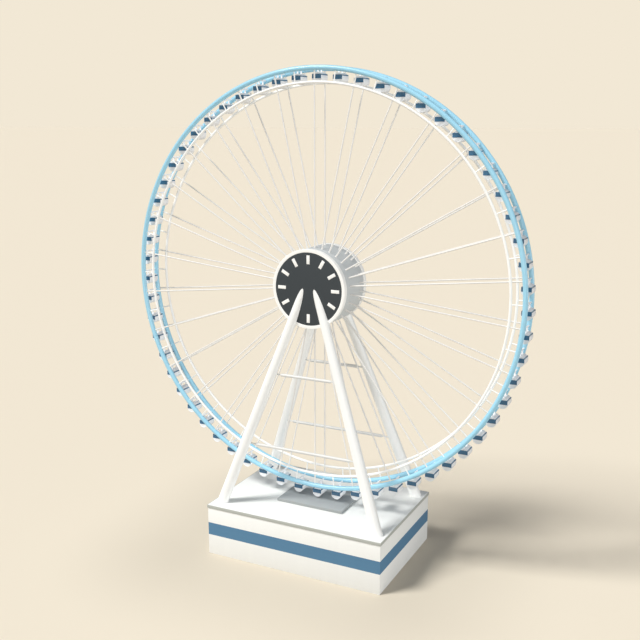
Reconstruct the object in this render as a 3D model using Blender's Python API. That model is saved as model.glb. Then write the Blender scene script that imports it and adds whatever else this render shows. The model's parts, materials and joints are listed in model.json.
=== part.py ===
"""A large observation wheel as a 1:10 scale model, in metres, +Z up, wheel in the XZ plane, front at -Y.

The ground is z = 0 and the origin is the middle of the plinth's underside. Angles round the wheel are
counted from the top, towards +X.
"""

import math

import bmesh
import bpy
from mathutils import Matrix, Vector

# Clearances between pieces
SEAT_GAP = 0.0003
RUN_GAP = 0.0006
SIDE_GAP = 0.010

# Plinth, deck and boarding platform
PLINTH_HALF = (2.312, 1.584)
PLINTH_TOP = 1.214
DECK_OVERHANG = 0.0144
DECK_TOP = 1.290
PLATFORM_HALF = (0.886, 0.616)
PLATFORM_THICK = 0.070

# Wheel
HUB_Z = 6.739
RIM_RADIUS = 5.0
RIM_Y = 0.271
RIM_TUBE = 0.0575
INNER_RADIUS = 4.678
INNER_Y = 0.280
INNER_TUBE = 0.031
SPOKE_COUNT = 30
SPOKE_Y = 0.270
SPOKE_TUBE = 0.018
STRUT_TUBE = 0.015
PITCHES = 60
RIM_SIDES = 6
BAR_SIDES = 4
DRUM_RADIUS = 0.930

# Axle and clock cases
AXLE_RADIUS = 0.150
CASE_RADIUS = 0.940
CASE_BACK = 0.490
CASE_FRONT = 0.614
DIAL_RADIUS = 0.864
DIAL_RECESS = 0.006
MARK_COUNT = 12
MARK_INNER = 0.591
MARK_OUTER = 0.797
MARK_WIDTH = 0.078

# Legs and crossbars
LEG_FOOT = Vector((2.086, 1.254, DECK_TOP))
LEG_TIP = Vector((0.144, 0.502, 6.75))
LEG_END_Z = 6.81
LEG_FOOT_RADIUS = 0.137
LEG_TIP_RADIUS = 0.104
CROSSBAR_RADIUS = 0.0375
SPIGOT_RADIUS = 0.017

# Each crossbar: height, distance from the wheel's plane, and half its length without the spigots
CROSSBARS = ((2.84, 0.955, 1.275), (4.625, 0.752, 0.675))

# Cabins
CABIN_RADIUS = 0.123
CABIN_LENGTH = 0.330
CABIN_DROP = 0.217
BAND_WIDTH = 0.227
BAND_LENGTH = 0.338
BAND_HEIGHT = 0.100
BAND_DROP = 0.189
CABIN_SIDES = 12
ROD_RADIUS = 0.018
HANGER_WIDTH = 0.050
HANGER_LENGTH = 0.200
HANGER_TOP = 0.007
SCENE_ONLY_EVERY = 5
SCENE_ONLY_FIRST = 1

COLOURS = {
    "white_paint": ((0.90, 0.91, 0.90), 0.45, 0.0),
    "plinth_render": ((0.92, 0.93, 0.92), 0.7, 0.0),
    "deck_grey": ((0.45, 0.46, 0.43), 0.6, 0.0),
    "platform_grey": ((0.40, 0.43, 0.45), 0.6, 0.0),
    "rim_blue": ((0.36, 0.68, 0.87), 0.35, 0.0),
    "spoke_grey": ((0.60, 0.62, 0.62), 0.4, 0.3),
    "drum_grey": ((0.55, 0.57, 0.58), 0.5, 0.1),
    "dial_slate": ((0.055, 0.067, 0.07), 0.5, 0.0),
    "cabin_white": ((0.88, 0.90, 0.90), 0.35, 0.0),
}


def clear_scene():
    for found in list(bpy.data.objects):
        bpy.data.objects.remove(found)


def material(name):
    """The named paint, made once."""
    if name in bpy.data.materials:
        return bpy.data.materials[name]
    colour, roughness, metallic = COLOURS[name]
    made = bpy.data.materials.new(name)
    made.use_nodes = True
    shader = made.node_tree.nodes["Principled BSDF"]
    shader.inputs["Base Color"].default_value = (*colour, 1.0)
    shader.inputs["Roughness"].default_value = roughness
    shader.inputs["Metallic"].default_value = metallic
    return made


def finished(name, bm, paint):
    """An object in the scene from a bmesh, with flat faces kept sharp and round ones shaded smooth."""
    bmesh.ops.recalc_face_normals(bm, faces=bm.faces)
    mesh = bpy.data.meshes.new(name)
    bm.to_mesh(mesh)
    bm.free()
    return placed(name, mesh, paint)


def placed(name, mesh, paint):
    made = bpy.data.objects.new(name, mesh)
    bpy.context.scene.collection.objects.link(made)
    if not mesh.materials:
        mesh.materials.append(material(paint))
    mesh.shade_smooth()
    mesh.set_sharp_from_angle(angle=math.radians(35))
    return made


def add_box(bm, low, high):
    size = Vector(high) - Vector(low)
    middle = (Vector(high) + Vector(low)) / 2
    place = Matrix.Translation(middle) @ Matrix.Diagonal((*size, 1.0))
    return bmesh.ops.create_cube(bm, size=1.0, matrix=place)["verts"]


def add_rod(bm, start, end, start_radius, end_radius, sides):
    """A closed tapering rod with flat ends."""
    start, end = Vector(start), Vector(end)
    along = end - start
    place = Matrix.Translation((start + end) / 2) @ along.to_track_quat("Z", "Y").to_matrix().to_4x4()
    return bmesh.ops.create_cone(
        bm,
        cap_ends=True,
        segments=sides,
        radius1=start_radius,
        radius2=end_radius,
        depth=along.length,
        matrix=place,
    )["verts"]


def add_turned(bm, outline, steps, start_angle=0.0):
    """Spins an outline of (radius, y) points about the Y axis. Points on the axis close to a pole."""
    points = [bm.verts.new((radius, y, 0.0)) for radius, y in outline]
    edges = [bm.edges.new(pair) for pair in zip(points, points[1:] + points[:1])]
    edges = [e for e in edges if any(v.co.x > 1e-6 for v in e.verts)]
    bmesh.ops.rotate(bm, verts=points, cent=(0, 0, 0), matrix=Matrix.Rotation(start_angle, 3, "Y"))
    bmesh.ops.spin(
        bm,
        geom=edges,
        cent=(0, 0, 0),
        axis=(0, 1, 0),
        angle=2 * math.pi,
        steps=steps,
        use_merge=True,
        use_duplicate=False,
    )
    loose = [e for e in bm.edges if not e.link_faces]
    bmesh.ops.delete(bm, geom=loose, context="EDGES")
    bmesh.ops.remove_doubles(bm, verts=bm.verts, dist=1e-5)


def add_ring(bm, radius, y, tube, sides, steps):
    """A hoop round the Y axis whose tube has a flat towards +Y and -Y, with a flat at every pitch."""
    outline = []
    for i in range(sides):
        angle = math.pi / sides + 2 * math.pi * i / sides
        outline.append((radius + tube * math.sin(angle), y + tube * math.cos(angle)))
    add_turned(bm, outline, steps, start_angle=math.pi / steps)


def cut_by(target, tool, operation):
    """Joins or cuts target with a hidden tool."""
    tool.hide_render = True
    tool.display_type = "WIRE"
    step = target.modifiers.new(operation.lower(), "BOOLEAN")
    step.operation = operation
    step.solver = "EXACT"
    step.use_self = True
    step.object = tool


def round_wheel(radius, angle, y):
    """A point on the wheel, relative to the hub: angle from the top towards +X."""
    return Vector((radius * math.sin(angle), y, radius * math.cos(angle)))


def make_plinth():
    bm = bmesh.new()
    across, deep = PLINTH_HALF
    add_box(bm, (-across, -deep, 0.0), (across, deep, PLINTH_TOP))
    finished("plinth", bm, "plinth_render")


def make_deck():
    bm = bmesh.new()
    across = PLINTH_HALF[0] + DECK_OVERHANG
    deep = PLINTH_HALF[1] + DECK_OVERHANG
    add_box(bm, (-across, -deep, PLINTH_TOP + SEAT_GAP), (across, deep, DECK_TOP))
    finished("deck_plate", bm, "deck_grey")


def make_platform():
    bm = bmesh.new()
    across, deep = PLATFORM_HALF
    add_box(bm, (-across, -deep, DECK_TOP + SEAT_GAP), (across, deep, DECK_TOP + PLATFORM_THICK))
    finished("boarding_platform", bm, "platform_grey")


def leg_point(z, side_x, side_y):
    """Where a leg's axis is at height z."""
    share = (z - LEG_FOOT.z) / (LEG_TIP.z - LEG_FOOT.z)
    point = LEG_FOOT.lerp(LEG_TIP, share)
    return Vector((side_x * point.x, side_y * point.y, z))


def add_leg(bm, side_x, side_y, grow=0.0):
    """One round leg, cut level at the deck and at its top, and flush with the back of the clock case."""
    below = LEG_FOOT.z - 2 * LEG_FOOT_RADIUS
    above = LEG_END_Z + LEG_TIP_RADIUS
    taper = (LEG_TIP_RADIUS - LEG_FOOT_RADIUS) / (LEG_TIP.z - LEG_FOOT.z)
    leg = bmesh.new()
    add_rod(
        leg,
        leg_point(below, side_x, side_y),
        leg_point(above, side_x, side_y),
        LEG_FOOT_RADIUS + taper * (below - LEG_FOOT.z) + grow,
        LEG_FOOT_RADIUS + taper * (above - LEG_FOOT.z) + grow,
        16,
    )
    cuts = (
        ((0, 0, DECK_TOP + SEAT_GAP), (0, 0, -1)),
        ((0, 0, LEG_END_Z + grow), (0, 0, 1)),
        ((0, side_y * (CASE_BACK - 2 * grow), 0), (0, -side_y, 0)),
    )
    for point, outward in cuts:
        geometry = leg.verts[:] + leg.edges[:] + leg.faces[:]
        bmesh.ops.bisect_plane(
            leg, geom=geometry, dist=1e-6, plane_co=point, plane_no=outward, clear_outer=True
        )
        open_edges = [e for e in leg.edges if len(e.link_faces) == 1]
        bmesh.ops.holes_fill(leg, edges=open_edges, sides=0)
    bmesh.ops.recalc_face_normals(leg, faces=leg.faces)
    mesh = bpy.data.meshes.new("leg")
    leg.to_mesh(mesh)
    leg.free()
    bm.from_mesh(mesh)


def add_crossbar(bm, height, depth, half, side_y):
    """A bar between the legs, held at each end by a thinner spigot that goes into the leg."""
    reach = leg_point(height, 1, side_y).x
    for x, radius in ((reach, SPIGOT_RADIUS), (half, CROSSBAR_RADIUS)):
        ends = (-x, side_y * depth, height), (x, side_y * depth, height)
        add_rod(bm, *ends, radius, radius, 10)


def make_leg_frame(name, side_y):
    """Two legs that lean together at the hub, with two crossbars between them."""
    bm = bmesh.new()
    add_leg(bm, -1, side_y)
    frame = finished(name, bm, "white_paint")
    bm = bmesh.new()
    add_leg(bm, 1, side_y)
    for height, depth, half in CROSSBARS:
        add_crossbar(bm, height, depth, half, side_y)
    cut_by(frame, finished(name + "_rest", bm, "white_paint"), "UNION")


def make_clock_case(name, side_y):
    """A round case with a raised rim, twelve plain marks, and a seat for the two leg ends."""
    face = CASE_FRONT - DIAL_RECESS
    bm = bmesh.new()
    outline = [
        (0.0, CASE_BACK),
        (CASE_RADIUS, CASE_BACK),
        (CASE_RADIUS, CASE_FRONT),
        (DIAL_RADIUS, CASE_FRONT),
        (DIAL_RADIUS, face),
        (0.0, face),
    ]
    add_turned(bm, [(radius, side_y * y) for radius, y in outline], 48)
    case = finished(name, bm, "dial_slate")
    case.location.z = HUB_Z
    bm = bmesh.new()
    low, high = sorted((side_y * (face - DIAL_RECESS), side_y * CASE_FRONT))
    for i in range(MARK_COUNT):
        corner = MARK_WIDTH / 2
        verts = add_box(bm, (-corner, low, MARK_INNER), (corner, high, MARK_OUTER))
        turn = Matrix.Rotation(2 * math.pi * i / MARK_COUNT, 3, "Y")
        bmesh.ops.rotate(bm, verts=verts, cent=(0, 0, 0), matrix=turn)
    marks = finished(name + "_marks", bm, "white_paint")
    marks.location.z = HUB_Z
    cut_by(case, marks, "UNION")
    for side_x in (-1, 1):
        bm = bmesh.new()
        add_leg(bm, side_x, side_y, grow=SEAT_GAP)
        cut_by(case, finished(f"{name}_seat_{side_x}", bm, "white_paint"), "DIFFERENCE")


def make_axle():
    bm = bmesh.new()
    end = CASE_BACK - SEAT_GAP
    add_turned(bm, [(0.0, -end), (AXLE_RADIUS, -end), (AXLE_RADIUS, end), (0.0, end)], 48)
    axle = finished("main_axle", bm, "white_paint")
    axle.location.z = HUB_Z


def make_drum(wheel):
    """The hub drum, with a bore for the axle. Its flats face the spokes."""
    end = CASE_BACK - SIDE_GAP
    flat = math.cos(math.pi / PITCHES)
    outer = DRUM_RADIUS / flat
    bore = (AXLE_RADIUS + RUN_GAP) / flat
    bm = bmesh.new()
    outline = [(bore, -end), (outer, -end), (outer, end), (bore, end)]
    add_turned(bm, outline, PITCHES, start_angle=math.pi / PITCHES)
    drum = finished("hub_drum", bm, "drum_grey")
    drum.parent = wheel


def make_wheel_side(name, side_y, wheel):
    """One flat side of the wheel: outer rim, inner rim, spokes and struts in one lattice."""
    bm = bmesh.new()
    add_ring(bm, RIM_RADIUS, side_y * RIM_Y, RIM_TUBE, RIM_SIDES, PITCHES)
    side = finished(name, bm, "rim_blue")
    side.parent = wheel
    bm = bmesh.new()
    add_ring(bm, INNER_RADIUS, side_y * INNER_Y, INNER_TUBE, RIM_SIDES, PITCHES)
    for i in range(SPOKE_COUNT):
        angle = 2 * math.pi * i / SPOKE_COUNT
        start = round_wheel(DRUM_RADIUS + SEAT_GAP, angle, side_y * SPOKE_Y)
        end = round_wheel(RIM_RADIUS, angle, side_y * SPOKE_Y)
        add_rod(bm, start, end, SPOKE_TUBE, SPOKE_TUBE, BAR_SIDES)
    for i in range(1, PITCHES, 2):
        angle = 2 * math.pi * i / PITCHES
        start = round_wheel(INNER_RADIUS, angle, side_y * INNER_Y)
        end = round_wheel(RIM_RADIUS, angle, side_y * RIM_Y)
        add_rod(bm, start, end, STRUT_TUBE, STRUT_TUBE, BAR_SIDES)
    bars = finished(name + "_bars", bm, "spoke_grey")
    bars.parent = wheel
    cut_by(side, bars, "UNION")


def cabin_mesh():
    """A cabin about its pivot: a drum lying along Y, a square window band, a hanger and its rod."""
    bm = bmesh.new()
    half = CABIN_LENGTH / 2
    ends = (0, -half, -CABIN_DROP), (0, half, -CABIN_DROP)
    add_rod(bm, *ends, CABIN_RADIUS, CABIN_RADIUS, CABIN_SIDES)
    cabin = finished("cabin", bm, "cabin_white")
    bm = bmesh.new()
    low = -BAND_DROP - BAND_HEIGHT / 2
    high = -BAND_DROP + BAND_HEIGHT / 2
    across, along = BAND_WIDTH / 2, BAND_LENGTH / 2
    add_box(bm, (-across, -along, low), (across, along, high))
    across, along = HANGER_WIDTH / 2, HANGER_LENGTH / 2
    add_box(bm, (-across, -along, -CABIN_DROP), (across, along, HANGER_TOP))
    end = RIM_Y - RIM_TUBE * math.cos(math.pi / RIM_SIDES) - RUN_GAP
    add_rod(bm, (0, -end, 0), (0, end, 0), ROD_RADIUS, ROD_RADIUS, 8)
    rest = finished("cabin_rest", bm, "cabin_white")
    cut_by(cabin, rest, "UNION")
    bpy.context.view_layer.update()
    graph = bpy.context.evaluated_depsgraph_get()
    mesh = bpy.data.meshes.new_from_object(cabin.evaluated_get(graph))
    bpy.data.objects.remove(cabin)
    bpy.data.objects.remove(rest)
    return mesh


def make_cabins(wheel):
    """Every fifth cabin is left to the scene, because each level cabin needs a body of its own."""
    mesh = cabin_mesh()
    for i in range(PITCHES):
        if i % SCENE_ONLY_EVERY == SCENE_ONLY_FIRST:
            continue
        cabin = placed(f"cabin_{i:02d}", mesh, "cabin_white")
        cabin.parent = wheel
        cabin.location = round_wheel(RIM_RADIUS, 2 * math.pi * i / PITCHES, 0.0)


def main():
    clear_scene()
    make_plinth()
    make_deck()
    make_platform()
    for name, side_y in (("front", -1), ("back", 1)):
        make_leg_frame(name + "_leg_frame", side_y)
        make_clock_case(name + "_clock_case", side_y)
    make_axle()
    wheel = bpy.data.objects.new("wheel_axis", None)
    bpy.context.scene.collection.objects.link(wheel)
    wheel.location.z = HUB_Z
    make_drum(wheel)
    for name, side_y in (("front", -1), ("back", 1)):
        make_wheel_side(name + "_wheel_side", side_y, wheel)
    make_cabins(wheel)


main()
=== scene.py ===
"""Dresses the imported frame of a 1:10 model of a large observation wheel.

Metres, +Z up, the wheel in the XZ plane with its front at -Y. Angles round the wheel are counted from
the top, towards +X, and cabin 0 hangs at the top.
"""

import json
import math

import bmesh
import bpy
from mathutils import Matrix, Vector


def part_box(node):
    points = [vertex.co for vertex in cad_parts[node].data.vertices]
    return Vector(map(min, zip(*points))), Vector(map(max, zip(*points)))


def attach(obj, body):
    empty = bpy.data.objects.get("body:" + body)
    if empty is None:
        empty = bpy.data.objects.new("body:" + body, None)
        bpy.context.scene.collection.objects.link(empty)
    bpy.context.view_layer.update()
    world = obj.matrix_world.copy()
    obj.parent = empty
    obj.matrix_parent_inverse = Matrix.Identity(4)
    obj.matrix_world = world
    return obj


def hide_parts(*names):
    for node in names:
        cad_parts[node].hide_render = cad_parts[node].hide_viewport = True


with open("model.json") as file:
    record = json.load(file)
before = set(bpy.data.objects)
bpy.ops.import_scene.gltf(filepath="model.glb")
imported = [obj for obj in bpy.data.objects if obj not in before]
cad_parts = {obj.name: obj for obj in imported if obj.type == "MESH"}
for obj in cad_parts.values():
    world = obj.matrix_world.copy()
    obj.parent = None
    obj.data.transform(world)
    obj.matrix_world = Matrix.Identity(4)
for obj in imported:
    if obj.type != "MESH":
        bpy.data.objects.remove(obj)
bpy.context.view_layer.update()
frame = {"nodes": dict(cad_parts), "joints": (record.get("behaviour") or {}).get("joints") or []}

# The camera, fitted to the photograph
CAMERA_AIM = Vector((0.0022, 0.0, 5.8884))
CAMERA_AZIMUTH = math.radians(26.590)
CAMERA_ELEVATION = math.radians(12.563)
CAMERA_DISTANCE = 21.3735
CAMERA_ROLL = math.radians(-0.022)
CAMERA_LENS = 49.964

# The studio
KEY_HEADING = math.radians(45.5)
KEY_ELEVATION = math.radians(51.0)
KEY_STRENGTH = 3.25
KEY_COLOUR = (1.0, 0.985, 0.955)
SUN_SOFTNESS = math.radians(18.0)
FRONT_STRENGTH = 0.78
FRONT_COLOUR = (1.0, 0.99, 0.97)
FRONT_HEADING = math.radians(-15.0)
SIDE_STRENGTH = 1.05
SIDE_COLOUR = (0.97, 0.985, 1.0)
SIDE_HEADING = math.radians(-92.0)
FILL_ELEVATION = 0.0
SKY_TOP = (0.270, 0.278, 0.292)
SKY_SIDE = (0.310, 0.316, 0.328)
BACKDROP = (0.888, 0.807, 0.665)
FLOOR_COLOUR = (0.804, 0.729, 0.603)
FLOOR_BOUNCE = 0.60
FLOOR_ROUGHNESS = 0.95
FLOOR_REACH = 1500.0
# Painted shade on the floor: its colour is darkened round the plinth to this share, fading out over this
# reach
FLOOR_PAINTED_SHADE_SHARE = 0.82
FLOOR_PAINTED_SHADE_REACH = 4.2

# The wheel
HUB = Vector(next(joint["pos_m"] for joint in frame["joints"] if joint["name"] == "wheel_turn"))
PITCHES = 60
SPOKE_COUNT = 30
RIM_TUBE = 0.0575
RIM_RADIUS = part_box("front_wheel_side")[1].z - HUB.z - RIM_TUBE
RIM_Y = 0.271
INNER_RADIUS = 4.678
INNER_TUBE = 0.031
INNER_Y = 0.280
SPOKE_Y = 0.270
SPOKE_TUBE = 0.018
SPOKE_SINK = 0.004
STRUT_TUBE = 0.015
FERRULE_TUBE = 0.022
FERRULE_LIP = 0.003
FERRULE_REACH = 0.030
BOSS_RADIUS = 0.031
BOSS_FACE = 0.2075
DRUM_RADIUS = 0.930
DRUM_BORE = 0.1508
DRUM_END = 0.480
DRUM_ROUNDING = 0.006
DRUM_STEPS = 120
HOOP_STEPS = 240
RIM_SIDES = 24
INNER_SIDES = 16
SPOKE_SIDES = 12
BOSS_SIDES = 14

# How far the cabins' rods lie outside the middle of the outer rims
ROD_OUT = 5.0 - RIM_RADIUS

# The clock cases
CASE_RADIUS = 0.940
CASE_BACK = 0.490
CASE_FRONT = 0.614
CASE_ROUNDING = 0.004
CLOCK_STEPS = 128
DIAL_RADIUS = 0.864
DIAL_FACE = 0.608
DIAL_SEAT = 0.600
DIAL_ROUNDING = 0.002
MARK_COUNT = 12
MARK_INNER = 0.591
MARK_OUTER = 0.797
MARK_WIDTH = 0.078
MARK_SINK = 0.002
MARK_BEVEL = 0.002

# The legs and crossbars
DECK_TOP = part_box("deck_plate")[1].z
LEG_FOOT = Vector((2.086, 1.254, DECK_TOP))
LEG_TIP = Vector((0.144, 0.502, 6.75))
LEG_END_Z = 6.81
LEG_FOOT_RADIUS = 0.137
LEG_TIP_RADIUS = 0.104
LEG_SIDES = 56
CROSSBAR_RADIUS = 0.0375
CROSSBAR_TAPER = 0.030
CROSSBAR_END_SHARE = 0.7
CROSSBAR_SIDES = 28
SPIGOT_RADIUS = 0.017
SPIGOT_SIDES = 16
COLLAR_HEIGHT = 0.012
COLLAR_GROW = 0.006

# Each crossbar: height, distance from the wheel's plane, and half its length without the spigots
CROSSBARS = ((2.84, 0.955, 1.275), (4.625, 0.752, 0.675))

# The plinth
STRIPE_LOW = 0.507
STRIPE_HIGH = 0.827
TRIM_THICK = 0.010
PLINTH_BEVEL = 0.006
DECK_BEVEL = 0.002
PLATFORM_BEVEL = 0.008

# The cabins, about their pivots
CABIN_RADIUS = 0.123
CABIN_HALF = 0.165
CABIN_DROP = 0.217
CABIN_STEPS = 32
CABIN_ROUNDING = 0.003
END_DISH = 0.003
END_DISH_RADIUS = 0.86 * CABIN_RADIUS
END_RIM_RADIUS = 0.89 * CABIN_RADIUS
BAND_HALF_WIDTH = 0.1135
BAND_HALF_LENGTH = 0.169
BAND_LOW = 0.239
BAND_HIGH = 0.139
PANE_FRAME = 0.005
PANE_DEPTH = 0.0015
ROD_RADIUS = 0.018
ROD_HALF = 0.2069
ROD_SIDES = 16
YOKE_Y = 0.088
YOKE_THICK = 0.012
YOKE_TOP = 0.012
YOKE_FOOT = 0.024
YOKE_BOSS_RADIUS = 0.023
YOKE_BOSS_PROUD = 0.004
YOKE_LOW = CABIN_DROP - 0.8 * CABIN_RADIUS
SCENE_ONLY_EVERY = 5
SCENE_ONLY_FIRST = 1

SEAT_GAP = 0.0003
MERGE_REACH = 1e-5
CUT_REACH = 1e-6
SHARP_ANGLE = math.radians(35)


class Value:
    """One output of a shader node. Arithmetic on it adds Math nodes."""

    def __init__(self, maker, socket):
        self.maker = maker
        self.socket = socket

    def math(self, operation, first, second):
        return self.maker.node("ShaderNodeMath", {"operation": operation}, {0: first, 1: second})

    def __add__(self, other):
        return self.math("ADD", self, other)

    def __sub__(self, other):
        return self.math("SUBTRACT", self, other)

    def __rsub__(self, other):
        return self.math("SUBTRACT", other, self)

    def __mul__(self, other):
        return self.math("MULTIPLY", self, other)

    __radd__ = __add__
    __rmul__ = __mul__


class NodeMaker:
    """Puts a node tree together node by node."""

    def __init__(self, tree):
        self.tree = tree

    def node(self, kind, settings, sockets, output=0):
        """Adds a node: its settings first, then a value or a link for each socket that is named."""
        made = self.tree.nodes.new(kind)
        for name, setting in settings.items():
            setattr(made, name, setting)
        self.fill(made, sockets)
        return Value(self, made.outputs[output])

    def fill(self, made, sockets):
        by_name = {socket.identifier: socket for socket in made.inputs}
        for name, given in sockets.items():
            socket = made.inputs[name] if isinstance(name, int) else by_name[name]
            if isinstance(given, Value):
                self.tree.links.new(given.socket, socket)
            elif socket.type == "RGBA":
                socket.default_value = (*given, 1.0)
            else:
                socket.default_value = given

    def vector(self, operation, sockets, output="Vector"):
        return self.node("ShaderNodeVectorMath", {"operation": operation}, sockets, output)

    def blend(self, share, first, second):
        """One colour turning into another."""
        sockets = {"Factor_Float": share, "A_Color": first, "B_Color": second}
        return self.node("ShaderNodeMix", {"data_type": "RGBA"}, sockets, "Result")

    def to_camera(self):
        """1 for what the camera sees itself, 0 for light on its way to something else."""
        return self.node("ShaderNodeLightPath", {}, {}, "Is Camera Ray")


class Finish(NodeMaker):
    """A material on its piece's own coordinates."""

    def __init__(self, name):
        self.material = bpy.data.materials.new(name)
        self.material.use_nodes = True
        super().__init__(self.material.node_tree)
        self.shader = self.tree.nodes["Principled BSDF"]

    def place(self):
        return self.node("ShaderNodeTexCoord", {}, {}, "Object")

    def noise(self, scale, detail=2.0, stretch=(1.0, 1.0, 1.0)):
        """A cloud between 0 and 1 on the piece's own coordinates."""
        spread = self.node("ShaderNodeMapping", {}, {"Vector": self.place(), "Scale": stretch})
        return self.node("ShaderNodeTexNoise", {}, {"Vector": spread, "Scale": scale, "Detail": detail})

    def between(self, amount, low, high):
        """The share that amount has covered from low to high, held between 0 and 1."""
        sockets = {"Value": amount, "From Min": low, "From Max": high}
        return self.node("ShaderNodeMapRange", {}, sockets)

    def bump(self, height, distance):
        return self.node("ShaderNodeBump", {}, {"Height": height, "Distance": distance})

    def surface(self, **sockets):
        """Fills the shader's sockets and returns the finished material. Names use _ for a space."""
        self.fill(self.shader, {name.replace("_", " "): given for name, given in sockets.items()})
        return self.material


def shade(colour, share):
    """The colour made darker or lighter by a share."""
    return tuple(channel * share for channel in colour)


def paint(name, colour, roughness, drift=0.04, peel=0.00035, coat=0.0):
    """Sprayed paint: tone that drifts slowly, gloss in clouds, and a fine orange peel."""
    finish = Finish(name)
    slow = finish.noise(scale=0.9, detail=3.0)
    fine = finish.noise(scale=14.0, detail=3.0)
    tone = finish.between(slow * 0.7 + fine * 0.3, 0.3, 0.7)
    grain = finish.noise(scale=260.0)
    return finish.surface(
        Base_Color=finish.blend(tone, shade(colour, 1 - drift), colour),
        Roughness=finish.between(fine, 0.2, 0.8) * 0.10 + (roughness - 0.05),
        Normal=finish.bump(grain, peel),
        Coat_Weight=coat,
        Coat_Roughness=0.12,
    )


def render_coat(name, colour):
    """Smooth masonry coat under matt paint: fine sand, trowel waves and faint rain marks."""
    finish = Finish(name)
    slow = finish.noise(scale=0.8, detail=4.0)
    streaks = finish.noise(scale=6.0, detail=3.0, stretch=(1.0, 1.0, 0.06))
    tone = finish.between(slow * 0.6 + streaks * 0.4, 0.3, 0.7)
    sand = finish.noise(scale=420.0, detail=3.0)
    waves = finish.noise(scale=7.0)
    return finish.surface(
        Base_Color=finish.blend(tone, shade(colour, 0.965), colour),
        Roughness=finish.between(slow, 0.2, 0.8) * 0.12 + 0.62,
        Normal=finish.bump(sand * 0.25 + waves, 0.0012),
    )


def deck_coat(name, colour):
    """Rolled deck paint with a fine non-slip grit."""
    finish = Finish(name)
    slow = finish.noise(scale=1.1, detail=4.0)
    grit = finish.node(
        "ShaderNodeTexVoronoi", {}, {"Vector": finish.place(), "Scale": 240.0}, "Distance"
    )
    tone = finish.between(slow, 0.3, 0.7)
    return finish.surface(
        Base_Color=finish.blend(tone, shade(colour, 0.97), colour),
        Roughness=finish.between(slow, 0.2, 0.8) * 0.10 + 0.55,
        Normal=finish.bump(grit, 0.0006),
    )


def glazing(name, colour):
    """Tinted window glass with a slight ripple."""
    finish = Finish(name)
    slow = finish.noise(scale=5.0)
    ripple = finish.noise(scale=22.0, detail=1.0)
    return finish.surface(
        Base_Color=finish.blend(finish.between(slow, 0.3, 0.7), shade(colour, 0.9), colour),
        Roughness=finish.between(slow, 0.2, 0.8) * 0.06 + 0.14,
        Normal=finish.bump(ripple, 0.0008),
        Coat_Weight=0.35,
        Coat_Roughness=0.05,
    )


def steel(name):
    """Turned steel with fine rings left by the lathe."""
    finish = Finish(name)
    rings = finish.noise(scale=90.0, stretch=(0.05, 1.0, 0.05))
    return finish.surface(
        Base_Color=finish.blend(rings, (0.42, 0.43, 0.44), (0.56, 0.57, 0.58)),
        Roughness=rings * 0.2 + 0.25,
        Normal=finish.bump(rings, 0.0004),
        Metallic=1.0,
    )


PLINTH_WHITE = render_coat("plinth_white_coat", (0.84, 0.845, 0.82))
PLINTH_BLUE = render_coat("plinth_blue_coat", (0.080, 0.200, 0.330))
DECK_WHITE = deck_coat("deck_white_coat", (0.87, 0.885, 0.87))
TRIM_GREY = paint("trim_grey_paint", (0.44, 0.455, 0.42), 0.5)
PLATFORM_GREY = deck_coat("platform_grey_coat", (0.39, 0.415, 0.425))
# The platform's sides: its grey darkened, a painted shade
PLATFORM_SIDE_PAINTED_SHADE = paint("platform_side_painted_shade", (0.31, 0.33, 0.33), 0.55)
LEG_WHITE = paint("leg_white_paint", (0.88, 0.885, 0.87), 0.42)
# The crossbars: the legs' white darkened, a painted shade
BAR_WHITE_PAINTED_SHADE = paint("bar_white_painted_shade", (0.69, 0.695, 0.68), 0.45)
CASE_WHITE = paint("case_white_paint", (0.93, 0.93, 0.91), 0.40)
DIAL_SLATE = paint("dial_slate_paint", (0.034, 0.043, 0.050), 0.55, drift=0.08)
DRUM_GREY = paint("drum_grey_paint", (0.57, 0.60, 0.61), 0.45)
RIM_BLUE = paint("rim_blue_paint", (0.335, 0.645, 0.82), 0.36, coat=0.15)
INNER_WHITE = paint("inner_white_paint", (0.93, 0.93, 0.91), 0.35)
SPOKE_GREY = paint("spoke_grey_paint", (0.79, 0.775, 0.745), 0.40)
CABIN_WHITE = paint("cabin_white_paint", (0.86, 0.87, 0.89), 0.38, coat=0.1)
WINDOW_BLUE = glazing("window_blue_glass", (0.050, 0.150, 0.265))
AXLE_STEEL = steel("axle_steel")


def at_hub(radius, angle, y):
    """A point on the wheel, at an angle from the top towards +X."""
    return HUB + Vector((radius * math.sin(angle), y, radius * math.cos(angle)))


def turn_of(index, count):
    return 2 * math.pi * index / count


def add_box(bm, low, high, bevel=0.0):
    """A box between two corners, with its edges rounded."""
    size = Vector(high) - Vector(low)
    middle = (Vector(high) + Vector(low)) / 2
    place = Matrix.Translation(middle) @ Matrix.Diagonal((*size, 1.0))
    verts = bmesh.ops.create_cube(bm, size=1.0, matrix=place)["verts"]
    if bevel:
        round_edges(bm, {edge for vert in verts for edge in vert.link_edges}, bevel)
    return verts


def round_edges(bm, edges, width, segments=2):
    bmesh.ops.bevel(
        bm,
        geom=list(edges),
        offset=width,
        offset_type="OFFSET",
        affect="EDGES",
        segments=segments,
        profile=0.5,
        material=-1,
    )


def add_rod(bm, start, end, start_radius, end_radius, sides):
    """A closed rod with flat ends, which may taper."""
    start, end = Vector(start), Vector(end)
    along = end - start
    place = Matrix.Translation((start + end) / 2) @ along.to_track_quat("Z", "Y").to_matrix().to_4x4()
    return bmesh.ops.create_cone(
        bm,
        cap_ends=True,
        segments=sides,
        radius1=start_radius,
        radius2=end_radius,
        depth=along.length,
        matrix=place,
    )["verts"]


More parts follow.
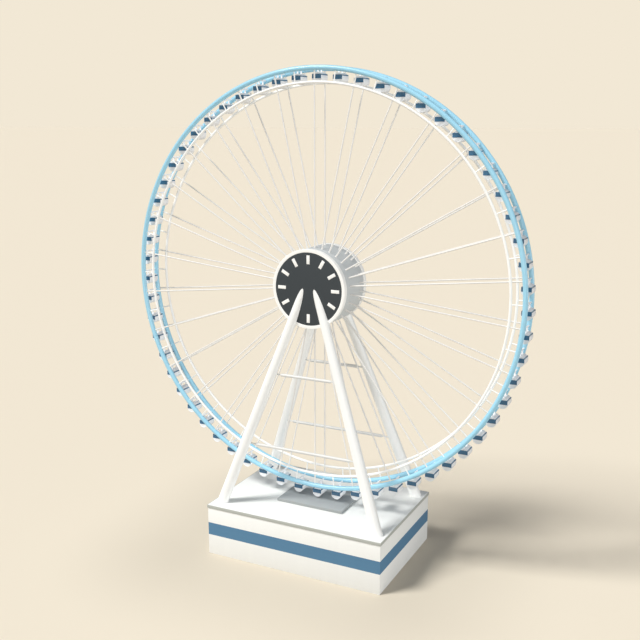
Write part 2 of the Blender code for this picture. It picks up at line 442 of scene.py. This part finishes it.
def rounded(corners, radius, steps=3):
    """The outline with every corner between its two ends turned into a small arc."""
    points = [Vector(corners[0])]
    for before, corner, after in zip(corners, corners[1:], corners[2:]):
        corner = Vector(corner)
        start = corner + (Vector(before) - corner).normalized() * radius
        end = corner + (Vector(after) - corner).normalized() * radius
        for i in range(steps + 1):
            share = i / steps
            points.append(start.lerp(corner, share).lerp(corner.lerp(end, share), share))
    points.append(Vector(corners[-1]))
    return points


def add_turned(bm, centre, outline, steps):
    """Spins an outline of (radius, y) points about the line through the centre along Y."""
    points = [bm.verts.new((centre.x + radius, centre.y + y, centre.z)) for radius, y in outline]
    edges = [bm.edges.new(pair) for pair in zip(points, points[1:])]
    spin_round(bm, points + edges, centre, steps)


def spin_round(bm, geometry, centre, steps):
    bmesh.ops.spin(
        bm,
        geom=geometry,
        cent=centre,
        axis=(0, 1, 0),
        angle=2 * math.pi,
        steps=steps,
        use_merge=True,
        use_duplicate=False,
    )
    bmesh.ops.remove_doubles(bm, verts=bm.verts, dist=MERGE_REACH)


def add_hoop(bm, radius, y, tube, sides, steps):
    """A round tube bent into a full circle about the hub."""
    place = Matrix.Translation(HUB + Vector((radius, y, 0)))
    verts = bmesh.ops.create_circle(bm, cap_ends=False, segments=sides, radius=tube, matrix=place)["verts"]
    edges = {edge for vert in verts for edge in vert.link_edges}
    spin_round(bm, verts + list(edges), HUB, steps)


def mesh_of(name, bm, *finishes):
    """A mesh with its normals outwards, its round faces smooth and its corners sharp."""
    bmesh.ops.recalc_face_normals(bm, faces=bm.faces)
    mesh = bpy.data.meshes.new(name)
    bm.to_mesh(mesh)
    bm.free()
    for finish in finishes:
        mesh.materials.append(finish)
    mesh.shade_smooth()
    mesh.set_sharp_from_angle(angle=SHARP_ANGLE)
    return mesh


def dress(name, mesh, body, slot, *stands_for):
    """Puts a mesh in the scene as a piece that rides on a body and may stand for CAD nodes."""
    piece = bpy.data.objects.new(name, mesh)
    bpy.context.scene.collection.objects.link(piece)
    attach(piece, body)
    if stands_for:
        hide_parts(*stands_for)
    return piece


def make_plinth():
    """A rendered block with a painted stripe all the way round."""
    bm = bmesh.new()
    low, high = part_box("plinth")
    add_box(bm, low, high, PLINTH_BEVEL)
    for height in (STRIPE_LOW, STRIPE_HIGH):
        geometry = bm.verts[:] + bm.edges[:] + bm.faces[:]
        bmesh.ops.bisect_plane(
            bm, geom=geometry, dist=CUT_REACH, plane_co=(0, 0, height), plane_no=(0, 0, 1)
        )
    for face in bm.faces:
        if STRIPE_LOW < face.calc_center_median().z < STRIPE_HIGH:
            face.material_index = 1
    mesh = mesh_of("plinth_block", bm, PLINTH_WHITE, PLINTH_BLUE)
    dress("plinth_block", mesh, "base", "plinth_white", "plinth")


def make_deck():
    """A white deck with a grey trim round its edge."""
    low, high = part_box("deck_plate")
    inset = Vector((TRIM_THICK, TRIM_THICK, 0))
    bm = bmesh.new()
    add_box(bm, low + inset, high - inset, DECK_BEVEL)
    dress("deck_slab", mesh_of("deck_slab", bm, DECK_WHITE), "base", "deck_white", "deck_plate")
    bm = bmesh.new()
    across, deep = high.x - TRIM_THICK, high.y - TRIM_THICK
    for side in (-1, 1):
        left, right = sorted((side * across, side * high.x))
        add_box(bm, (left, low.y, low.z), (right, high.y, high.z), DECK_BEVEL)
        front, back = sorted((side * deep, side * high.y))
        add_box(bm, (-across, front, low.z), (across, back, high.z), DECK_BEVEL)
    dress("deck_edge_trim", mesh_of("deck_edge_trim", bm, TRIM_GREY), "base", "platform_grey")


def make_platform():
    """The boarding platform: a low slab with rounded nosings, its sides painted darker as a painted shade.
    """
    bm = bmesh.new()
    add_box(bm, *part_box("boarding_platform"), PLATFORM_BEVEL)
    bm.normal_update()
    # Painted shade: faces that do not face up take the darker copy of the grey
    for face in bm.faces:
        if face.normal.z < 0.7:
            face.material_index = 1
    mesh = mesh_of("boarding_slab", bm, PLATFORM_GREY, PLATFORM_SIDE_PAINTED_SHADE)
    dress("boarding_slab", mesh, "base", "platform_grey", "boarding_platform")


def leg_point(z, side_x, side_y):
    """Where a leg's axis is at height z."""
    point = LEG_FOOT.lerp(LEG_TIP, (z - LEG_FOOT.z) / (LEG_TIP.z - LEG_FOOT.z))
    return Vector((side_x * point.x, side_y * point.y, z))


def leg_radius(z):
    share = (z - LEG_FOOT.z) / (LEG_TIP.z - LEG_FOOT.z)
    return LEG_FOOT_RADIUS + share * (LEG_TIP_RADIUS - LEG_FOOT_RADIUS)


def add_leg(bm, side_x, side_y, low, high, grow=0.0):
    """A stretch of one round leg, cut level at both ends and flush with the back of the clock case."""
    leg = bmesh.new()
    below, above = low - LEG_FOOT_RADIUS, high + LEG_FOOT_RADIUS
    ends = leg_point(below, side_x, side_y), leg_point(above, side_x, side_y)
    add_rod(leg, *ends, leg_radius(below) + grow, leg_radius(above) + grow, LEG_SIDES)
    cuts = (
        ((0, 0, low), (0, 0, -1)),
        ((0, 0, high), (0, 0, 1)),
        ((0, side_y * CASE_BACK, 0), (0, -side_y, 0)),
    )
    for point, outward in cuts:
        geometry = leg.verts[:] + leg.edges[:] + leg.faces[:]
        bmesh.ops.bisect_plane(
            leg, geom=geometry, dist=CUT_REACH, plane_co=point, plane_no=outward, clear_outer=True
        )
        open_edges = [edge for edge in leg.edges if len(edge.link_faces) == 1]
        bmesh.ops.holes_fill(leg, edges=open_edges, sides=0)
    mesh = bpy.data.meshes.new("leg")
    leg.to_mesh(mesh)
    leg.free()
    bm.from_mesh(mesh)
    bpy.data.meshes.remove(mesh)


def add_crossbar(bm, height, y, half, reach):
    """A bar that narrows at both ends to a spigot, which goes into the leg."""
    thick, thin = CROSSBAR_RADIUS, CROSSBAR_END_SHARE * CROSSBAR_RADIUS
    straight = half - CROSSBAR_TAPER
    add_rod(bm, (-reach, y, height), (reach, y, height), SPIGOT_RADIUS, SPIGOT_RADIUS, SPIGOT_SIDES)
    add_rod(bm, (-straight, y, height), (straight, y, height), thick, thick, CROSSBAR_SIDES)
    for side_x in (-1, 1):
        ends = (side_x * straight, y, height), (side_x * half, y, height)
        add_rod(bm, *ends, thick, thin, CROSSBAR_SIDES)


def make_leg_frame(side, side_y):
    """Two legs that lean together, with a collar at each foot and two crossbars between them."""
    node = side + "_leg_frame"
    bm = bmesh.new()
    foot = DECK_TOP + SEAT_GAP
    for side_x in (-1, 1):
        add_leg(bm, side_x, side_y, foot, LEG_END_Z)
        add_leg(bm, side_x, side_y, foot, foot + COLLAR_HEIGHT, COLLAR_GROW)
    dress(side + "_legs", mesh_of(side + "_legs", bm, LEG_WHITE), "base", "leg_white", node)

    # Painted shade: the crossbars take the legs' white darkened
    bm = bmesh.new()
    for height, depth, half in CROSSBARS:
        add_crossbar(bm, height, side_y * depth, half, leg_point(height, 1, side_y).x)
    dress(side + "_crossbars", mesh_of(side + "_crossbars", bm, BAR_WHITE_PAINTED_SHADE), "base", "leg_white", node)


def make_clock_part(name, side_y, outline, rounding, finish, slot, node):
    """Spins one round part of a clock about the hub."""
    bm = bmesh.new()
    points = [(radius, side_y * y) for radius, y in rounded(outline, rounding)]
    add_turned(bm, HUB, points, CLOCK_STEPS)
    dress(name, mesh_of(name, bm, finish), "base", slot, node)


def make_clock_bars(name, side_y, node):
    """Twelve plain bars that stand on the dial."""
    bm = bmesh.new()
    low, high = sorted((side_y * (DIAL_FACE - MARK_SINK), side_y * CASE_FRONT))
    for i in range(MARK_COUNT):
        bar = bmesh.new()
        half = MARK_WIDTH / 2
        add_box(bar, (-half, low, MARK_INNER), (half, high, MARK_OUTER), MARK_BEVEL)
        place = Matrix.Translation(HUB) @ Matrix.Rotation(turn_of(i, MARK_COUNT), 4, "Y")
        bmesh.ops.transform(bar, matrix=place, verts=bar.verts)
        add_copy(bm, bar)
    dress(name, mesh_of(name, bm, CASE_WHITE), "base", "leg_white", node)


def make_clock(side, side_y):
    """A white case with a raised rim, a slate dial let into it, and twelve plain bars."""
    node = side + "_clock_case"
    case = [
        (0.0, CASE_BACK),
        (CASE_RADIUS, CASE_BACK),
        (CASE_RADIUS, CASE_FRONT),
        (DIAL_RADIUS, CASE_FRONT),
        (DIAL_RADIUS, DIAL_SEAT),
        (0.0, DIAL_SEAT),
    ]
    make_clock_part(side + "_clock_rim", side_y, case, CASE_ROUNDING, CASE_WHITE, "leg_white", node)
    edge, seat = DIAL_RADIUS - SEAT_GAP, DIAL_SEAT + SEAT_GAP
    dial = [(0.0, seat), (edge, seat), (edge, DIAL_FACE), (0.0, DIAL_FACE)]
    make_clock_part(side + "_clock_dial", side_y, dial, DIAL_ROUNDING, DIAL_SLATE, "clock_slate", node)
    make_clock_bars(side + "_clock_bars", side_y, node)


def add_copy(bm, other):
    """Moves all of another bmesh into this one."""
    mesh = bpy.data.meshes.new("copy")
    other.to_mesh(mesh)
    other.free()
    bm.from_mesh(mesh)
    bpy.data.meshes.remove(mesh)


def make_drum():
    """The hub drum: a smooth shell with rounded ends and a bore for the axle."""
    outline = [
        (DRUM_BORE, 0.0),
        (DRUM_BORE, -DRUM_END),
        (DRUM_RADIUS, -DRUM_END),
        (DRUM_RADIUS, DRUM_END),
        (DRUM_BORE, DRUM_END),
        (DRUM_BORE, 0.0),
    ]
    bm = bmesh.new()
    add_turned(bm, HUB, rounded(outline, DRUM_ROUNDING), DRUM_STEPS)
    dress("hub_drum_shell", mesh_of("hub_drum_shell", bm, DRUM_GREY), "wheel", "drum_grey", "hub_drum")


def make_rim(name, radius, y, tube, sides, finish, slot, node):
    bm = bmesh.new()
    add_hoop(bm, radius, y, tube, sides, HOOP_STEPS)
    dress(name, mesh_of(name, bm, finish), "wheel", slot, node)


def make_spokes(name, side_y, node):
    """Straight spokes from the drum to the outer rim, with a small ferrule at each root."""
    bm = bmesh.new()
    y = side_y * SPOKE_Y
    root = DRUM_RADIUS - SPOKE_SINK
    for i in range(SPOKE_COUNT):
        angle = turn_of(i, SPOKE_COUNT)
        start = at_hub(root, angle, y)
        add_rod(bm, start, at_hub(RIM_RADIUS, angle, y), SPOKE_TUBE, SPOKE_TUBE, SPOKE_SIDES)
        collar = at_hub(root + FERRULE_REACH, angle, y)
        add_rod(bm, start, collar, FERRULE_TUBE, SPOKE_TUBE + FERRULE_LIP, SPOKE_SIDES)
    dress(name, mesh_of(name, bm, SPOKE_GREY), "wheel", "spoke_grey", node)


def make_struts(name, side_y, node):
    """A short strut between the inner and the outer rim, halfway between every two spokes."""
    bm = bmesh.new()
    for i in range(1, PITCHES, 2):
        angle = turn_of(i, PITCHES)
        start = at_hub(INNER_RADIUS, angle, side_y * INNER_Y)
        end = at_hub(RIM_RADIUS, angle, side_y * RIM_Y)
        add_rod(bm, start, end, STRUT_TUBE, STRUT_TUBE, SPOKE_SIDES)
    dress(name, mesh_of(name, bm, INNER_WHITE), "wheel", "rim_white", node)


def make_rod_bosses(name, side_y, node):
    """A short boss inside the outer rim for the end of each cabin's rod."""
    bm = bmesh.new()
    for i in range(PITCHES):
        centre = at_hub(RIM_RADIUS + ROD_OUT, turn_of(i, PITCHES), 0.0)
        start = centre + Vector((0, side_y * BOSS_FACE, 0))
        end = centre + Vector((0, side_y * RIM_Y, 0))
        add_rod(bm, start, end, BOSS_RADIUS, BOSS_RADIUS, BOSS_SIDES)
    dress(name, mesh_of(name, bm, RIM_BLUE), "wheel", "rim_blue", node)


def make_wheel_side(side, side_y):
    """One side of the wheel: two rims, spokes, struts, and a boss for each cabin's rod."""
    node = side + "_wheel_side"
    outer = (RIM_RADIUS, side_y * RIM_Y, RIM_TUBE, RIM_SIDES)
    inner = (INNER_RADIUS, side_y * INNER_Y, INNER_TUBE, INNER_SIDES)
    make_rim(side + "_outer_rim", *outer, RIM_BLUE, "rim_blue", node)
    make_rim(side + "_inner_rim", *inner, INNER_WHITE, "rim_white", node)
    make_spokes(side + "_spokes", side_y, node)
    make_struts(side + "_struts", side_y, node)
    make_rod_bosses(side + "_rod_bosses", side_y, node)


def cabin_shell():
    """The white drum of a cabin, lying along Y, with a dished end wall inside a rounded rim."""
    bm = bmesh.new()
    corners = [
        (0.0, CABIN_HALF - END_DISH),
        (END_DISH_RADIUS, CABIN_HALF - END_DISH),
        (END_RIM_RADIUS, CABIN_HALF),
        (CABIN_RADIUS, CABIN_HALF),
        (CABIN_RADIUS, 0.0),
    ]
    half = rounded(corners, CABIN_ROUNDING, steps=2)[:-1]
    outline = half + [(radius, -y) for radius, y in reversed(half)]
    add_turned(bm, Vector((0, 0, -CABIN_DROP)), outline, CABIN_STEPS)
    return mesh_of("cabin_shell", bm, CABIN_WHITE)


def cabin_windows():
    """The square band of glazing, with a pane let into each of its four sides."""
    bm = bmesh.new()
    low = (-BAND_HALF_WIDTH, -BAND_HALF_LENGTH, -BAND_LOW)
    high = (BAND_HALF_WIDTH, BAND_HALF_LENGTH, -BAND_HIGH)
    add_box(bm, low, high)
    bm.normal_update()
    panes = [face for face in bm.faces if abs(face.normal.z) < 0.1]
    bmesh.ops.inset_individual(bm, faces=panes, thickness=PANE_FRAME, depth=-PANE_DEPTH)
    return mesh_of("cabin_windows", bm, WINDOW_BLUE)


def cabin_hanger():
    """A rod across the rims and a pair of tapered yoke plates that carry the cabin from it."""
    bm = bmesh.new()
    add_rod(bm, (0, -ROD_HALF, 0), (0, ROD_HALF, 0), ROD_RADIUS, ROD_RADIUS, ROD_SIDES)
    half = YOKE_THICK / 2
    boss = half + YOKE_BOSS_PROUD
    for y in (-YOKE_Y, YOKE_Y):
        plate = add_box(bm, (-YOKE_FOOT, y - half, -YOKE_LOW), (YOKE_FOOT, y + half, 0.0))
        for vert in plate:
            if vert.co.z > -half:
                vert.co.x *= YOKE_TOP / YOKE_FOOT
        add_rod(bm, (0, y - boss, 0), (0, y + boss, 0), YOKE_BOSS_RADIUS, YOKE_BOSS_RADIUS, ROD_SIDES)
    return mesh_of("cabin_hanger", bm, CABIN_WHITE)


def make_cabins():
    """Sixty cabins. The twelve that have no body of their own ride on the wheel."""
    parts = (
        ("shell", cabin_shell(), "cabin_white"),
        ("windows", cabin_windows(), "window_blue"),
        ("hanger", cabin_hanger(), "cabin_white"),
    )
    for i in range(PITCHES):
        alone = i % SCENE_ONLY_EVERY == SCENE_ONLY_FIRST
        body = "wheel" if alone else f"level_cabin_{i:02d}"
        stands_for = () if alone else (f"cabin_{i:02d}",)
        place = Matrix.Translation(at_hub(RIM_RADIUS + ROD_OUT, turn_of(i, PITCHES), 0.0))
        for part, mesh, slot in parts:
            made = mesh.copy()
            made.transform(place)
            dress(f"cabin_{i:02d}_{part}", made, body, slot, *stands_for)


def paint_axle():
    """The axle keeps its CAD shape."""
    axle = frame["nodes"]["main_axle"]
    axle.material_slots[0].material = AXLE_STEEL


def clear_of_painted_plinth_shade(finish):
    """How far a spot on the floor is from the plinth, as a share of the reach of the shade painted round
    it.
    """
    low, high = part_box("plinth")
    outside = finish.vector("ABSOLUTE", {0: finish.place()})
    outside = finish.vector("SUBTRACT", {0: outside, 1: high})
    outside = finish.vector("MAXIMUM", {0: outside, 1: (0.0, 0.0, 0.0)})
    distance = finish.vector("LENGTH", {0: outside}, "Value")
    return finish.node(
        "ShaderNodeMapRange",
        {"interpolation_type": "SMOOTHSTEP"},
        {"Value": distance, "From Min": 0.0, "From Max": FLOOR_PAINTED_SHADE_REACH},
    )


def make_floor():
    """A pale card with a painted shade round the plinth. It throws back less light than it shows."""
    bm = bmesh.new()
    bmesh.ops.create_grid(bm, x_segments=1, y_segments=1, size=FLOOR_REACH)
    finish = Finish("floor_card")
    # Painted shade: the floor's colour darkened near the plinth
    seen = finish.blend(clear_of_painted_plinth_shade(finish), shade(FLOOR_COLOUR, FLOOR_PAINTED_SHADE_SHARE), FLOOR_COLOUR)
    finish.surface(
        Base_Color=finish.blend(finish.to_camera(), shade(FLOOR_COLOUR, FLOOR_BOUNCE), seen),
        Roughness=FLOOR_ROUGHNESS,
        Specular_IOR_Level=0.0,
    )
    floor = bpy.data.objects.new("floor", mesh_of("floor", bm, finish.material))
    bpy.context.scene.collection.objects.link(floor)


def make_sky():
    """Soft light from all round. The camera sees the backdrop's own colour."""
    world = bpy.data.worlds.new("studio")
    bpy.context.scene.world = world
    world.use_nodes = True
    world.node_tree.nodes.remove(world.node_tree.nodes["Background"])
    sky = NodeMaker(world.node_tree)
    direction = sky.node("ShaderNodeTexCoord", {}, {}, "Generated")
    height = sky.node("ShaderNodeSeparateXYZ", {}, {"Vector": direction}, "Z")
    light = sky.node("ShaderNodeBackground", {}, {"Color": sky.blend(height, SKY_SIDE, SKY_TOP)})
    seen = sky.node("ShaderNodeBackground", {}, {"Color": BACKDROP})
    chosen = sky.node("ShaderNodeMixShader", {}, {0: sky.to_camera(), 1: light, 2: seen})
    sky.fill(world.node_tree.nodes["World Output"], {"Surface": chosen})


def add_sun(name, strength, colour, heading, elevation):
    """A distant lamp. Its heading is the way that its light travels, from +Y towards +X."""
    lamp = bpy.data.lights.new(name, "SUN")
    lamp.energy = strength
    lamp.angle = SUN_SOFTNESS
    lamp.color = colour
    sun = bpy.data.objects.new(name, lamp)
    bpy.context.scene.collection.objects.link(sun)
    level = math.cos(elevation)
    towards = Vector((level * math.sin(heading), level * math.cos(heading), -math.sin(elevation)))
    sun.rotation_euler = towards.to_track_quat("-Z", "Y").to_euler()
    return lamp


def make_lights():
    """A soft key from the left, and two low fills that cast no shadow, from the front and the right."""
    add_sun("key", KEY_STRENGTH, KEY_COLOUR, KEY_HEADING, KEY_ELEVATION)
    fills = (
        add_sun("front_fill", FRONT_STRENGTH, FRONT_COLOUR, FRONT_HEADING, FILL_ELEVATION),
        add_sun("side_fill", SIDE_STRENGTH, SIDE_COLOUR, SIDE_HEADING, FILL_ELEVATION),
    )
    for fill in fills:
        fill.use_shadow = False


def make_camera():
    lens = bpy.data.cameras.new("camera")
    lens.lens = CAMERA_LENS
    lens.clip_end = 4 * FLOOR_REACH
    camera = bpy.data.objects.new("camera", lens)
    bpy.context.scene.collection.objects.link(camera)
    level = math.cos(CAMERA_ELEVATION)
    back = Vector(
        (
            level * math.sin(CAMERA_AZIMUTH),
            -level * math.cos(CAMERA_AZIMUTH),
            math.sin(CAMERA_ELEVATION),
        )
    )
    turn = back.to_track_quat("Z", "Y").to_matrix().to_4x4() @ Matrix.Rotation(CAMERA_ROLL, 4, "Z")
    camera.matrix_world = Matrix.Translation(CAMERA_AIM + back * CAMERA_DISTANCE) @ turn
    bpy.context.scene.camera = camera


make_camera()
make_lights()
make_sky()
make_floor()
make_plinth()
make_deck()
make_platform()
for side, side_y in (("front", -1), ("back", 1)):
    make_leg_frame(side, side_y)
    make_clock(side, side_y)
    make_wheel_side(side, side_y)
make_drum()
make_cabins()
paint_axle()
bpy.context.scene.view_settings.view_transform = "Standard"
